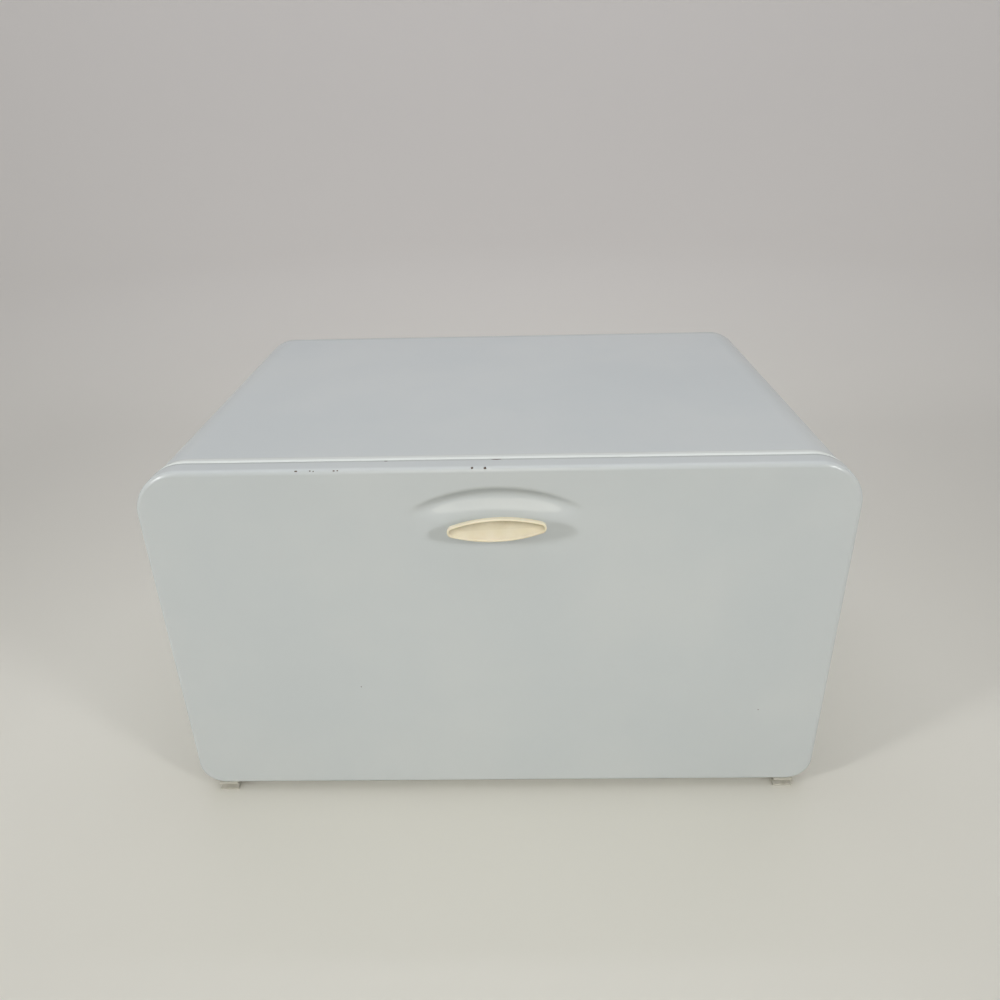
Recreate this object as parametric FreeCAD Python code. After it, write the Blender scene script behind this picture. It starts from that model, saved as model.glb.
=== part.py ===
import FreeCAD, Part
import math
import os

# Bread box with a full-height drawer, in millimetres. A painted sheet-steel case stands on four rubber feet.
# The drawer's front is a folded sheet pan that covers the whole open end of the case.
# X runs across the front, the front looks towards -Y, and Z = 0 is the table. The origin is under the middle.

Vector = FreeCAD.Vector

# Drawer front, a pan folded from one sheet
front_width = 400.0
front_height = 227.0
front_depth = 12.0
front_top_radius = 27.0
front_bottom_radius = 16.0
front_fold_radius = 3.0
front_lift = 6.5                # from the table to the front's lower edge
front_gap = 1.0                 # shut, between the front's folded edge and the case
sheet = 0.8                     # thickness of every painted sheet

# Clearances
nesting_clearance = 0.1         # between sheets that are nested and spot-welded
running_clearance = 0.3         # between pieces that move past each other
pin_clearance = 0.05            # around a rivet or a screw

# Case, a wrapped sleeve with a wired edge at its open end
case_depth = 258.0
case_step = 1.0                 # the sleeve lies this far inside the front's outline
hem_step = 0.2                  # the wired edge lies this far inside the front's outline
hem_diameter = 5.6
rim_wire_diameter = 3.9
back_recess = 8.0               # from the case's rear edge to the back sheet
back_fold_radius = 2.0
vent_hole_diameter = 5.0
vent_pitch = 11.0
vent_from_middle = 120.0
vent_height = 170.0

# Finger recess, pressed into the front, deepest near its upper edge
recess_half_width = 50.0
recess_depth = 5.6
recess_from_top = 11.0          # from the front's upper edge to the recess's upper edge
recess_height = 33.0
recess_top_drop = 13.0          # how far the upper edge bends down towards the tips
recess_bottom_rise = 4.0
recess_skew = 2.7               # how far the deepest line lies towards the upper edge
recess_side_power = 4.0         # how squarely the recess runs out towards its tips
recess_margin = 4.0             # flat sheet around the recess in its patch
recess_columns = 37
recess_rows = 31

# Pull, an eye-shaped moulding on two posts in front of the recess
pull_projection = 10.0          # from the front's face to the pull's face
pull_thickness = 3.4
pull_width = 54.6
pull_height = 14.2
pull_tip_radius = 3.3
pull_from_recess_top = 22.2     # from the recess's upper edge to the pull's middle
pull_rim_width = 0.2
pull_dish_depth = 1.7
pull_dish_radius = 18.0
pull_edge_radius = 0.8
pull_post_radius = 3.0
pull_post_spacing = 28.0
pull_post_drop = 2.0            # the posts' axes lie this far below the pull's middle
pull_screw_radius = 1.45
pull_screw_head_radius = 2.8
pull_screw_head_height = 1.8
pull_screw_bite = 6.0           # how far a screw reaches in front of the front's face
washer_radius = 3.4
washer_thickness = 0.5
washer_depth_rings = 4          # rings and points at which the sheet's depth under a washer is read
washer_depth_points = 12

# Inner panel, a shallow pan that closes the front from behind
inner_panel_recess = 0.6        # from the front's folded edge to the inner panel
inner_panel_flange = 8.0
inner_fold_radius = 1.6

# Drawer tub
side_space = 11.7               # between the case's side and the tub's side, for the slides
floor_space = 1.0               # between the case's wired edge and the tub's floor
tub_height = 137.0
tub_corner_radius = 12.0
tub_flange = 12.0               # turned in at the tub's front and riveted to the inner panel
tub_rear_space = 1.5            # between the tub's sides and the case's back sheet
tub_rim_radius = 2.2
tub_back_flange = 10.0

# Runners on the case and slides on the tub, one channel inside the other
runner_sheet = 1.0
runner_height = 12.0
runner_reach = 10.0
runner_axis_height = 70.0       # above the table
runner_front_space = 1.5        # behind the case's wired edge
runner_rear_space = 2.0         # in front of the case's back sheet

# End stops
drawer_travel = 195.0
stop_sheet = 1.2
stop_height = 11.0
stop_foot = 12.0                # length of the leg that is fixed to a side
stop_reach = 8.7
stop_from_runner_end = 4.0
stop_above_runner = 1.0
buffer_radius = 7.0
buffer_spacing = 240.0
buffer_height = 45.0            # above the table
buffer_stem_radius = 2.8
buffer_bulb_radius = 4.2
buffer_bulb_length = 3.0

# Glides, bent strips under the front's lower corners
glide_sheet = 1.2
glide_width = 12.0
glide_rivet_edge = 3.3          # from the glide's inner edge to its rivet's axis
glide_front_space = 0.8
glide_length = 10.6

# Rubber feet with screws and nuts
foot_top_radius = 9.0
foot_bottom_radius = 8.0
foot_inset_x = 34.0
foot_inset_y = 30.0
foot_screw_radius = 2.0
foot_screw_head_radius = 3.9
foot_screw_head_height = 2.4
foot_counterbore_radius = 4.6
foot_counterbore_depth = 3.2
foot_nut_flats = 7.0
foot_nut_height = 3.0
foot_screw_point = 0.4          # of the screw that shows above the nut

# Rivets
rivet_radius = 1.6
rivet_head_radius = 3.2
rivet_head_height = 1.2
rivet_tail_radius = 2.2
rivet_tail_height = 1.0
slide_rivet_count = 4
slide_rivet_end = 20.0
front_rivet_rows = 3
front_rivet_columns = 4
back_rivet_heights = (30.0, 100.0)   # above the tub's floor
back_rivet_spacing = 120.0

# Places worked out from the sizes above
overall_depth = pull_projection + front_depth + front_gap + case_depth
face_y = pull_projection - overall_depth / 2
front_rear_y = face_y + front_depth
case_front_y = front_rear_y + front_gap
case_rear_y = case_front_y + case_depth
hem_y = case_front_y + hem_diameter / 2
hem_inset = hem_step + hem_diameter / 2
back_y = case_rear_y - back_recess
opening_inset = hem_step + hem_diameter
case_floor_z = front_lift + case_step + sheet
case_side_x = front_width / 2 - case_step - sheet
inner_panel_y = front_rear_y - inner_panel_recess
tub_side_x = case_side_x - side_space
tub_bottom_z = front_lift + opening_inset + floor_space
tub_top_z = tub_bottom_z + tub_height
tub_rear_y = back_y - tub_rear_space
tub_back_y = tub_rear_y - tub_back_flange
runner_front_y = case_front_y + hem_diameter + runner_front_space
runner_rear_y = back_y - runner_rear_space
slide_outer_x = front_width / 2 - opening_inset - running_clearance
slide_height = runner_height - 2 * runner_sheet - 2 * running_clearance
stop_y = runner_front_y + stop_from_runner_end
stop_z = runner_axis_height + runner_height / 2 + stop_above_runner
catch_y = stop_y + stop_sheet + running_clearance + drawer_travel
recess_top_z = front_lift + front_height - recess_from_top
recess_bottom_z = recess_top_z - recess_height
pull_z = recess_top_z - pull_from_recess_top
pull_post_z = pull_z - pull_post_drop


def outline_wire(inset, y):
    """The rounded outline that the front and the case share, drawn in by inset, at y."""
    half = front_width / 2 - inset
    low = front_lift + inset
    high = front_lift + front_height - inset
    top = front_top_radius - inset
    bottom = front_bottom_radius - inset
    bend = math.sqrt(0.5)

    def point(x, z):
        return Vector(x, y, z)

    def corner(x, z, radius, across, up):
        start = point(x + across * radius, z)
        middle = point(x + across * radius * bend, z + up * radius * bend)
        end = point(x, z + up * radius)
        return Part.Arc(start, middle, end).toShape()

    edges = [
        Part.makeLine(point(-half + top, high), point(half - top, high)),
        corner(half - top, high - top, top, 1, 1),
        Part.makeLine(point(half, high - top), point(half, low + bottom)),
        corner(half - bottom, low + bottom, bottom, 1, -1),
        Part.makeLine(point(half - bottom, low), point(-half + bottom, low)),
        corner(-half + bottom, low + bottom, bottom, -1, -1),
        Part.makeLine(point(-half, low + bottom), point(-half, high - top)),
        corner(-half + top, high - top, top, -1, 1),
    ]
    return Part.Wire(Part.__sortEdges__(edges))


def outline_block(inset, y_start, y_end):
    """A solid block with the shared outline."""
    face = Part.Face(outline_wire(inset, y_start))
    return face.extrude(Vector(0, y_end - y_start, 0))


def outline_ring(inset, y, radius):
    """A round bar bent to the shared outline."""
    top = Vector(0, y, front_lift + front_height - inset)
    section = Part.Face(Part.Wire(Part.makeCircle(radius, top, Vector(1, 0, 0))))
    return outline_wire(inset, y).makePipe(section)


def edges_at_y(shape, y):
    """The edges of a shape that lie in the plane at y."""
    return [e for e in shape.Edges if abs(e.BoundBox.YMin - y) < 1e-6 and abs(e.BoundBox.YMax - y) < 1e-6]


def folded_pan(inset, web_y, rim_y, fold_radius):
    """A pan folded from one sheet: a flat web at web_y with its edge folded all round as far as rim_y."""
    towards_rim = math.copysign(1.0, rim_y - web_y)
    outer = outline_block(inset, web_y, rim_y)
    outer = outer.makeFillet(fold_radius, edges_at_y(outer, web_y))
    floor_y = web_y + towards_rim * sheet
    inner = outline_block(inset + sheet, floor_y, rim_y + towards_rim * sheet)
    inner = inner.makeFillet(fold_radius - sheet, edges_at_y(inner, floor_y))
    return outer.cut(inner)


def box(x_span, y_span, z_span):
    """A box between two values on each axis."""
    corner = Vector(x_span[0], y_span[0], z_span[0])
    return Part.makeBox(x_span[1] - x_span[0], y_span[1] - y_span[0], z_span[1] - z_span[0], corner)


def rod(start, direction, length, radius):
    """A round bar from start along direction."""
    return Part.makeCylinder(radius, length, start, direction)


def mirrored(shape):
    """The same piece for the other side of the box."""
    return shape.mirror(Vector(0, 0, 0), Vector(1, 0, 0))


def turned_to(shape, place, direction):
    """A piece made along +Z at the origin, turned to point along direction and set at place."""
    turn = FreeCAD.Rotation(Vector(0, 0, 1), direction)
    moved = shape.copy()
    moved.Placement = FreeCAD.Placement(place, turn)
    return moved


def rivet(place, direction, grip):
    """A rivet with its domed head's underside at place, its shank along direction through grip."""
    up = Vector(0, 0, 1)
    dome_radius = (rivet_head_radius**2 + rivet_head_height**2) / (2 * rivet_head_height)
    dome = Part.makeSphere(dome_radius, up * (dome_radius - rivet_head_height), Vector(1, 0, 0))
    head = dome.common(rod(up * -rivet_head_height * 2, up, rivet_head_height * 2, 2 * rivet_head_radius))
    shank = rod(up * -rivet_head_height / 2, up, rivet_head_height / 2 + grip, rivet_radius)
    tail = rod(up * grip, up, rivet_tail_height, rivet_tail_radius)
    return turned_to(head.fuse([shank, tail]), place, direction)


def rivet_hole(place, direction, length):
    """The hole for a rivet, reaching length each way from place."""
    start = place - direction * length
    return rod(start, direction, 2 * length, rivet_radius + pin_clearance)


def circle_points(radius, count):
    """Evenly spaced points of a circle about the origin."""
    angles = [2 * math.pi * step / count for step in range(count)]
    return [(radius * math.cos(angle), radius * math.sin(angle)) for angle in angles]


# Finger recess -------------------------------------------------------------------------------------


def recess_depth_at(x, z):
    """How deep the finger recess is at a point of the front, z above the table."""
    across = x / recess_half_width
    upper = recess_top_z - recess_top_drop * across**2
    lower = recess_bottom_z + recess_bottom_rise * across**2
    share = (z - lower) / (upper - lower)
    if abs(across) >= 1 or not 0 < share < 1:
        return 0.0
    side = (1 - abs(across) ** recess_side_power) ** 2
    return recess_depth * side * math.sin(math.pi * share**recess_skew) ** 2


def spread(low, high, count):
    """Evenly spaced values from low to high."""
    return [low + (high - low) * i / (count - 1) for i in range(count)]


def pull_post_places():
    """Where the axes of the pull's two posts meet the front's face."""
    return [Vector(side * pull_post_spacing / 2, face_y, pull_post_z) for side in (-1, 1)]


def recess_patch():
    """The pressed sheet of the recess with its flat margin and screw holes, and the box it fills."""
    half = recess_half_width + recess_margin
    low = recess_bottom_z - recess_margin
    high = recess_top_z + recess_margin
    grid = [
        [Vector(x, face_y + recess_depth_at(x, z), z) for z in spread(low, high, recess_rows)]
        for x in spread(-half, half, recess_columns)
    ]
    surface = Part.BSplineSurface()
    surface.interpolate(grid)
    patch = surface.toShape().extrude(Vector(0, sheet, 0))
    for place in pull_post_places():
        start = place - Vector(0, sheet, 0)
        length = recess_depth + 3 * sheet
        patch = patch.cut(rod(start, Vector(0, 1, 0), length, pull_screw_radius + pin_clearance))
    space = box((-half, half), (face_y, face_y + sheet), (low, high))
    return patch, space


# Drawer front and what is fixed to it --------------------------------------------------------------


def glide_rivet_place():
    """Where the right glide's rivet passes the front's lower edge, its head clear of the round corner."""
    x = front_width / 2 - front_bottom_radius - rivet_head_radius
    return Vector(x, face_y + glide_front_space + glide_length / 2, front_lift)


def both_glide_places():
    """Where both glides' rivets pass the lower edge of the front."""
    right = glide_rivet_place()
    return [right, Vector(-right.x, right.y, right.z)]


def make_drawer_front(patch, space):
    """The painted front: a folded pan with the pressed recess, and holes for the glides' rivets."""
    front = folded_pan(0, face_y, front_rear_y, front_fold_radius)
    for place in both_glide_places():
        front = front.cut(rivet_hole(place, Vector(0, 0, 1), 2 * sheet))
    return front.cut(space).fuse(patch)


def make_inner_panel():
    """The pan that closes the front from behind."""
    rim_y = inner_panel_y - inner_panel_flange
    panel = folded_pan(sheet + nesting_clearance, inner_panel_y, rim_y, inner_fold_radius)
    for place in front_rivet_places():
        panel = panel.cut(rivet_hole(place, Vector(0, 1, 0), 2 * sheet))
    for place in both_glide_places():
        panel = panel.cut(rivet_hole(place, Vector(0, 0, 1), 4 * sheet))
    return panel


def eye_face(width, height, tip_radius, y):
    """An eye-shaped face: two shallow arcs joined by small round tips, about the pull's middle."""
    tip_x = width / 2 - tip_radius
    rise = height / 2
    lid_radius = (tip_x**2 + rise**2 - tip_radius**2) / (2 * (rise - tip_radius))
    lid_centre = rise - lid_radius
    reach = lid_radius / (lid_radius - tip_radius)
    join = Vector(tip_x * reach, y, lid_centre - lid_centre * reach)

    def at(x, z):
        return Vector(x, y, pull_z + z)

    upper = Part.Arc(at(-join.x, join.z), at(0, rise), at(join.x, join.z))
    right = Part.Arc(at(join.x, join.z), at(width / 2, 0), at(join.x, -join.z))
    lower = Part.Arc(at(join.x, -join.z), at(0, -rise), at(-join.x, -join.z))
    left = Part.Arc(at(-join.x, -join.z), at(-width / 2, 0), at(-join.x, join.z))
    return Part.Face(Part.Wire([arc.toShape() for arc in (upper, right, lower, left)]))


def make_pull(patch):
    """The moulded pull: an eye-shaped bar with a dished face, on two posts that stand on the recess."""
    front_y = face_y - pull_projection
    rear_y = front_y + pull_thickness
    bar = eye_face(pull_width, pull_height, pull_tip_radius, front_y).extrude(Vector(0, pull_thickness, 0))
    bar = bar.makeFillet(pull_edge_radius, edges_at_y(bar, front_y) + edges_at_y(bar, rear_y))
    dish_size = 2 * (pull_edge_radius + pull_rim_width)
    dish = eye_face(
        pull_width - dish_size,
        pull_height - dish_size,
        pull_tip_radius / 2,
        front_y - pull_dish_depth,
    ).extrude(Vector(0, 2 * pull_dish_depth, 0))
    hollow_axis = Vector(-pull_width / 2, front_y + pull_dish_depth - pull_dish_radius, pull_z)
    pull = bar.cut(dish.common(rod(hollow_axis, Vector(1, 0, 0), pull_width, pull_dish_radius)))
    for place in pull_post_places():
        post_end = face_y + sheet / 2
        post = rod(
            Vector(place.x, rear_y - pull_edge_radius, place.z),
            Vector(0, 1, 0),
            post_end - rear_y + pull_edge_radius,
            pull_post_radius,
        )
        pull = pull.fuse(post)
        start = Vector(place.x, face_y - pull_screw_bite - running_clearance, place.z)
        length = pull_screw_bite + running_clearance + sheet
        pull = pull.cut(rod(start, Vector(0, 1, 0), length, pull_screw_radius + pin_clearance))
    return pull.cut(patch)


def washer_front_y(place):
    """Where the sheet behind the recess carries a washer: at the deepest sheet under it."""
    depths = [
        recess_depth_at(place.x + x, place.z + z)
        for radius in spread(0, washer_radius, washer_depth_rings)
        for x, z in circle_points(radius, washer_depth_points)
    ]
    return face_y + sheet + max(depths)


def make_pull_washers():
    """A flat washer behind the sheet for each screw."""
    washers = []
    for place in pull_post_places():
        start = Vector(place.x, washer_front_y(place), place.z)
        disc = rod(start, Vector(0, 1, 0), washer_thickness, washer_radius)
        hole = rod(start, Vector(0, 1, 0), washer_thickness, pull_screw_radius + pin_clearance)
        washers.append(disc.cut(hole))
    return Part.makeCompound(washers)


def make_pull_screws():
    """The two screws that hold the pull, driven from behind the sheet."""
    screws = []
    for place in pull_post_places():
        seat_y = washer_front_y(place) + washer_thickness
        start = Vector(place.x, face_y - pull_screw_bite, place.z)
        shank = rod(start, Vector(0, 1, 0), seat_y - start.y + pull_screw_head_height / 2, pull_screw_radius)
        head = rod(
            Vector(place.x, seat_y, place.z), Vector(0, 1, 0), pull_screw_head_height, pull_screw_head_radius
        )
        end_y = seat_y + pull_screw_head_height
        head = head.makeFillet(pull_screw_head_height / 2, edges_at_y(head, end_y))
        slot_half = pull_screw_head_radius / 6
        slot = box(
            (place.x - slot_half, place.x + slot_half),
            (end_y - pull_screw_head_height / 2, end_y),
            (place.z - pull_screw_head_radius, place.z + pull_screw_head_radius),
        )
        screws.append(head.fuse(shank).cut(slot))
    return Part.makeCompound(screws)


def make_glide():
    """The right glide: a strip bent back on itself, open to the front, that slides on the table."""
    x_low = glide_rivet_place().x - glide_rivet_edge
    start_y = face_y + glide_front_space
    end_y = start_y + glide_length
    top = front_lift
    bottom = running_clearance
    bend = (top - bottom) / 2
    middle_z = (top + bottom) / 2
    bend_y = end_y - bend

    def section(inset, front_y):
        radius = bend - inset
        high = Vector(x_low, bend_y, middle_z + radius)
        low = Vector(x_low, bend_y, middle_z - radius)
        front_high = Vector(x_low, front_y, high.z)
        front_low = Vector(x_low, front_y, low.z)
        edges = [
            Part.makeLine(front_high, high),
            Part.Arc(high, Vector(x_low, bend_y + radius, middle_z), low).toShape(),
            Part.makeLine(low, front_low),
            Part.makeLine(front_low, front_high),
        ]
        return Part.Face(Part.Wire(edges)).extrude(Vector(glide_width, 0, 0))

    glide = section(0, start_y).cut(section(glide_sheet, start_y - glide_sheet))
    return glide.cut(rivet_hole(glide_rivet_place(), Vector(0, 0, 1), 2 * glide_sheet))


def make_glide_rivets():
    """One rivet through each glide, the front's lower edge and the inner panel's edge."""
    grip = glide_sheet + 2 * sheet + nesting_clearance
    rivets = []
    for place in both_glide_places():
        head = place + Vector(0, 0, grip - glide_sheet)
        rivets.append(rivet(head, Vector(0, 0, -1), grip))
    return Part.makeCompound(rivets)


# Drawer tub ----------------------------------------------------------------------------------------


def tub_block(inset, y_start, y_end, top_z):
    """A block with the tub's section: square at the top, rounded at the two lower corners."""
    half = tub_side_x - inset
    low = tub_bottom_z + inset
    radius = max(tub_corner_radius - inset, sheet)
    bend = radius * (1 - math.sqrt(0.5))

    def at(x, z):
        return Vector(x, y_start, z)

    edges = [
        Part.makeLine(at(-half, top_z), at(-half, low + radius)),
        Part.Arc(at(-half, low + radius), at(-half + bend, low + bend), at(-half + radius, low)).toShape(),
        Part.makeLine(at(-half + radius, low), at(half - radius, low)),
        Part.Arc(at(half - radius, low), at(half - bend, low + bend), at(half, low + radius)).toShape(),
        Part.makeLine(at(half, low + radius), at(half, top_z)),
        Part.makeLine(at(half, top_z), at(-half, top_z)),
    ]
    return Part.Face(Part.Wire(edges)).extrude(Vector(0, y_end - y_start, 0))


def front_rivet_places():
    """Where rivets join the tub's front flange to the inner panel."""
    flange_middle = tub_flange / 2
    side_x = tub_side_x - flange_middle
    low_z = tub_bottom_z + flange_middle
    heights = spread(tub_bottom_z + 3 * tub_flange, tub_top_z - tub_flange, front_rivet_rows)
    places = [Vector(side * side_x, inner_panel_y, z) for side in (-1, 1) for z in heights]
    half = tub_side_x - 3 * tub_flange
    places += [Vector(x, inner_panel_y, low_z) for x in spread(-half, half, front_rivet_columns)]
    return places


def back_rivet_places():
    """Where rivets join the tub's back to its sides and floor, each with the way out of the tub."""
    y = tub_rear_y - tub_back_flange / 2
    places = []
    for side in (-1, 1):
        for height in back_rivet_heights:
            places.append((Vector(side * tub_side_x, y, tub_bottom_z + height), Vector(side, 0, 0)))
        places.append((Vector(side * back_rivet_spacing, y, tub_bottom_z), Vector(0, 0, -1)))
    return places


def slide_rivet_places():
    """Where rivets join the slides to the tub's sides, and the one in each catch."""
    ys = spread(inner_panel_y + slide_rivet_end, tub_back_y - slide_rivet_end, slide_rivet_count)
    slides = [Vector(side * tub_side_x, y, runner_axis_height) for side in (-1, 1) for y in ys]
    catch_rivet_y = catch_y + (stop_foot + stop_sheet) / 2
    catches = [Vector(side * tub_side_x, catch_rivet_y, stop_z + stop_height / 2) for side in (-1, 1)]
    return slides, catches


def make_tub():
    """The tub: floor and sides bent from one sheet, with rolled rims and a front flange turned in."""
    tub = tub_block(0, inner_panel_y, tub_rear_y, tub_top_z)
    over = tub_top_z + sheet
    flange_y = inner_panel_y + sheet
    flange = tub_block(0, inner_panel_y, flange_y, tub_top_z)
    flange = flange.cut(tub_block(tub_flange, inner_panel_y, flange_y, over))
    tub = tub.cut(tub_block(sheet, inner_panel_y, tub_rear_y, over)).fuse(flange)
    rim_x = tub_side_x - sheet + tub_rim_radius
    for side in (-1, 1):
        start = Vector(side * rim_x, inner_panel_y, tub_top_z)
        length = tub_rear_y - inner_panel_y
        tub = tub.fuse(rod(start, Vector(0, 1, 0), length, tub_rim_radius))
        tub = tub.cut(rod(start, Vector(0, 1, 0), length, tub_rim_radius - sheet))
    for place in front_rivet_places():
        tub = tub.cut(rivet_hole(place, Vector(0, 1, 0), 2 * sheet))
    for place, outwards in back_rivet_places():
        tub = tub.cut(rivet_hole(place, outwards, 2 * sheet))
    for places in slide_rivet_places():
        for place in places:
            tub = tub.cut(rivet_hole(place, Vector(1, 0, 0), 2 * sheet))
    return tub


def make_tub_back():
    """The tub's back: a sheet with its edge turned to the rear inside the tub, and a rolled upper rim."""
    inset = sheet + nesting_clearance
    back = tub_block(inset, tub_back_y, tub_rear_y, tub_top_z)
    back = back.cut(tub_block(inset + sheet, tub_back_y + sheet, tub_rear_y, tub_top_z + sheet))
    half = tub_side_x - inset
    start = Vector(-half, tub_back_y + tub_rim_radius, tub_top_z)
    back = back.fuse(rod(start, Vector(1, 0, 0), 2 * half, tub_rim_radius))
    back = back.cut(rod(start, Vector(1, 0, 0), 2 * half, tub_rim_radius - sheet))
    for place, outwards in back_rivet_places():
        back = back.cut(rivet_hole(place, outwards, 4 * sheet))
    return back


def make_front_rivets():
    """Rivets from inside the tub through its front flange and the inner panel."""
    lift = Vector(0, sheet, 0)
    return Part.makeCompound([rivet(p + lift, Vector(0, -1, 0), 2 * sheet) for p in front_rivet_places()])


def make_back_rivets():
    """Rivets from outside the tub through its sides and floor and the back's edge."""
    grip = 2 * sheet + nesting_clearance
    rivets = [rivet(place, outwards * -1, grip) for place, outwards in back_rivet_places()]
    return Part.makeCompound(rivets)


def make_slide_rivets():
    """Rivets from inside the tub through its sides and the slides and catches."""
    slides, catches = slide_rivet_places()
    rivets = []
    for places, thickness in ((slides, runner_sheet), (catches, stop_sheet)):
        for place in places:
            outwards = Vector(math.copysign(1.0, place.x), 0, 0)
            rivets.append(rivet(place - outwards * sheet, outwards, sheet + thickness))
    return Part.makeCompound(rivets)


# Runners, slides and stops -------------------------------------------------------------------------


def channel(web_x, tip_x, height, y_start, y_end):
    """A channel along Y: an upright web at web_x and two flanges that reach to tip_x."""
    low = runner_axis_height - height / 2
    high = runner_axis_height + height / 2
    outer = box((min(web_x, tip_x), max(web_x, tip_x)), (y_start, y_end), (low, high))
    inward = math.copysign(runner_sheet, tip_x - web_x)
    x_span = sorted((web_x + inward, tip_x + inward))
    return outer.cut(box(x_span, (y_start, y_end), (low + runner_sheet, high - runner_sheet)))


def make_runner():
    """The right runner, spot-welded to the case's side, open towards the tub."""
    tip_x = case_side_x - runner_reach
    return channel(case_side_x, tip_x, runner_height, runner_front_y, runner_rear_y)


def make_slide():
    """The right slide, riveted to the tub's side, open towards the case and inside the runner."""
    slide = channel(tub_side_x, slide_outer_x, slide_height, inner_panel_y, tub_rear_y)
    for place in slide_rivet_places()[0]:
        slide = slide.cut(rivet_hole(place, Vector(1, 0, 0), 2 * runner_sheet))
    return slide


def make_stop():
    """The right stop, an angle on the case's side over the runner."""
    z_span = (stop_z, stop_z + stop_height)
    foot = box((case_side_x - stop_sheet, case_side_x), (stop_y, stop_y + stop_foot), z_span)
    leg = box((case_side_x - stop_reach, case_side_x), (stop_y, stop_y + stop_sheet), z_span)
    return foot.fuse(leg).removeSplitter()


def make_catch():
    """The right catch, an angle on the tub's side that meets the stop when the drawer is fully out."""
    z_span = (stop_z, stop_z + stop_height)
    foot = box((tub_side_x, tub_side_x + stop_sheet), (catch_y, catch_y + stop_sheet + stop_foot), z_span)
    leg = box((tub_side_x, slide_outer_x), (catch_y, catch_y + stop_sheet), z_span)
    catch = foot.fuse(leg).removeSplitter()
    return catch.cut(rivet_hole(slide_rivet_places()[1][1], Vector(1, 0, 0), 2 * stop_sheet))


def make_buffer():
    """The right rubber buffer on the case's back sheet, which stops the drawer when it is shut."""
    x = buffer_spacing / 2
    start_y = tub_back_y + sheet + running_clearance
    head_start = Vector(x, start_y, buffer_height)
    head = rod(head_start, Vector(0, 1, 0), back_y - start_y, buffer_radius)
    head = head.makeFillet(buffer_radius / 5, edges_at_y(head, start_y))
    stem_start = Vector(x, back_y - sheet, buffer_height)
    stem = rod(stem_start, Vector(0, 1, 0), 2 * sheet + buffer_bulb_length, buffer_stem_radius)
    bulb = Part.makeCone(
        buffer_bulb_radius,
        buffer_stem_radius,
        buffer_bulb_length,
        Vector(x, back_y + sheet + pin_clearance, buffer_height),
        Vector(0, 1, 0),
    )
    return head.fuse([stem, bulb])


# Case ----------------------------------------------------------------------------------------------


def foot_places():
    """Where the feet's axes meet the table, by name."""
    x = front_width / 2 - foot_inset_x
    rows = {"front": case_front_y + foot_inset_y, "rear": case_rear_y - foot_inset_y}
    sides = {"left": -x, "right": x}
    return {
        f"foot_{row}_{side}": Vector(place_x, place_y, 0)
        for row, place_y in rows.items()
        for side, place_x in sides.items()
    }


def make_case_shell():
    """The sleeve of the case, with its front edge rolled round a wire."""
    sleeve = outline_block(case_step, hem_y, case_rear_y).cut(
        outline_block(case_step + sheet, hem_y, case_rear_y)
    )
    hem = outline_ring(hem_inset, hem_y, hem_diameter / 2)
    wire_hole = outline_ring(hem_inset, hem_y, rim_wire_diameter / 2 + pin_clearance)
    shell = sleeve.fuse(hem).cut(wire_hole)
    for place in foot_places().values():
        hole = rod(place, Vector(0, 0, 1), case_floor_z + sheet, foot_screw_radius + pin_clearance)
        shell = shell.cut(hole)
    return shell


def make_rim_wire():
    """The steel wire inside the case's rolled edge."""
    return outline_ring(hem_inset, hem_y, rim_wire_diameter / 2)


def make_case_back():
    """The back of the case: a pan with its edge turned to the rear, with vent holes and buffer holes."""
    back = folded_pan(case_step + sheet + nesting_clearance, back_y, case_rear_y, back_fold_radius)
    rear = Vector(0, 1, 0)
    for side in (-1, 1):
        centre = Vector(side * vent_from_middle, back_y - sheet, vent_height)
        ring = [Vector(x, 0, z) for x, z in circle_points(vent_pitch, 6)]
        for offset in [Vector(0, 0, 0)] + ring:
            back = back.cut(rod(centre + offset, rear, 3 * sheet, vent_hole_diameter / 2))
        hole_start = Vector(side * buffer_spacing / 2, back_y - sheet, buffer_height)
        back = back.cut(rod(hole_start, rear, 3 * sheet, buffer_stem_radius + pin_clearance))
    return back


def make_foot(place):
    """A rubber foot with a counterbore for its screw."""
    up = Vector(0, 0, 1)
    height = case_floor_z - sheet
    foot = Part.makeCone(foot_bottom_radius, foot_top_radius, height, place, up)
    foot = foot.cut(rod(place, up, foot_counterbore_depth, foot_counterbore_radius))
    return foot.cut(rod(place, up, height, foot_screw_radius + pin_clearance))


def make_foot_screws():
    """A screw through each foot and the case's floor."""
    up = Vector(0, 0, 1)
    top = case_floor_z + foot_nut_height + foot_screw_point
    screws = []
    for place in foot_places().values():
        head_z = foot_counterbore_depth - foot_screw_head_height
        head = rod(place + up * head_z, up, foot_screw_head_height, foot_screw_head_radius)
        bottom_edges = [e for e in head.Edges if abs(e.BoundBox.ZMax - head_z) < 1e-6]
        head = head.makeFillet(foot_screw_head_height / 2, bottom_edges)
        shank_z = foot_counterbore_depth - foot_screw_head_height / 3
        shank = rod(place + up * shank_z, up, top - shank_z, foot_screw_radius)
        slot_half = foot_screw_head_radius / 7
        slot = box(
            (place.x - slot_half, place.x + slot_half),
            (place.y - foot_screw_head_radius, place.y + foot_screw_head_radius),
            (head_z, head_z + foot_screw_head_height / 2),
        )
        screws.append(head.fuse(shank).cut(slot))
    return Part.makeCompound(screws)


def make_foot_nuts():
    """A hexagon nut on each foot screw, inside the case."""
    up = Vector(0, 0, 1)
    corner_radius = foot_nut_flats / math.sqrt(3)
    nuts = []
    for place in foot_places().values():
        base = place + up * case_floor_z
        corners = [base + Vector(x, y, 0) for x, y in circle_points(corner_radius, 6)]
        hexagon = Part.Face(Part.makePolygon(corners + corners[:1])).extrude(up * foot_nut_height)
        nuts.append(hexagon.cut(rod(base, up, foot_nut_height, foot_screw_radius + pin_clearance)))
    return Part.makeCompound(nuts)


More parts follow.
